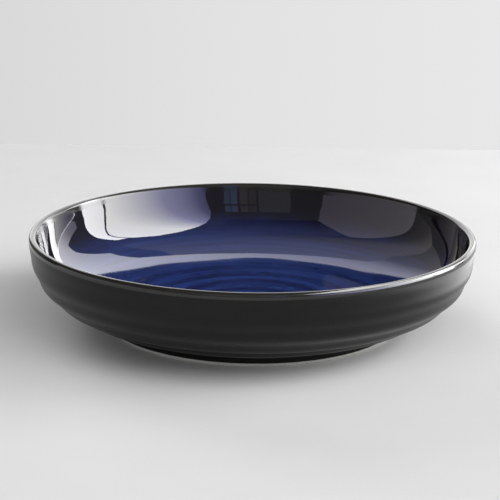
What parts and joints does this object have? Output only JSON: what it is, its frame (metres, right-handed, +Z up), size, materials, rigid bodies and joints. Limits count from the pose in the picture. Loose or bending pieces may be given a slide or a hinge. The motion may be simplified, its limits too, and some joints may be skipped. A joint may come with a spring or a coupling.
{
  "type": "salad bowl",
  "caption": "Shallow round glazed stoneware salad bowl with a rounded lip, finger-ridged wall and turned foot ring, for serving and eating from.",
  "frame": {"origin": "on the table plane under the centre of the foot ring, on the bowl's axis", "axes": "+Z up along the bowl's axis of symmetry; +X and +Y lie in the table plane, and any turn about +Z gives the same bowl"},
  "size_m": [0.22, 0.22, 0.046],
  "materials": {
    "bare_stoneware": "matt, fine grit",
    "cobalt_glaze": "gloss, mottled",
    "rim_glaze": "gloss",
    "black_glaze": "soft gloss"
  },
  "bodies": {
    "root": {"clay_body": "bare_stoneware", "inside_glaze": "cobalt_glaze", "rim_glaze": "rim_glaze", "outside_glaze": "black_glaze", "base_glaze": "black_glaze"}
  },
  "joints": []
}
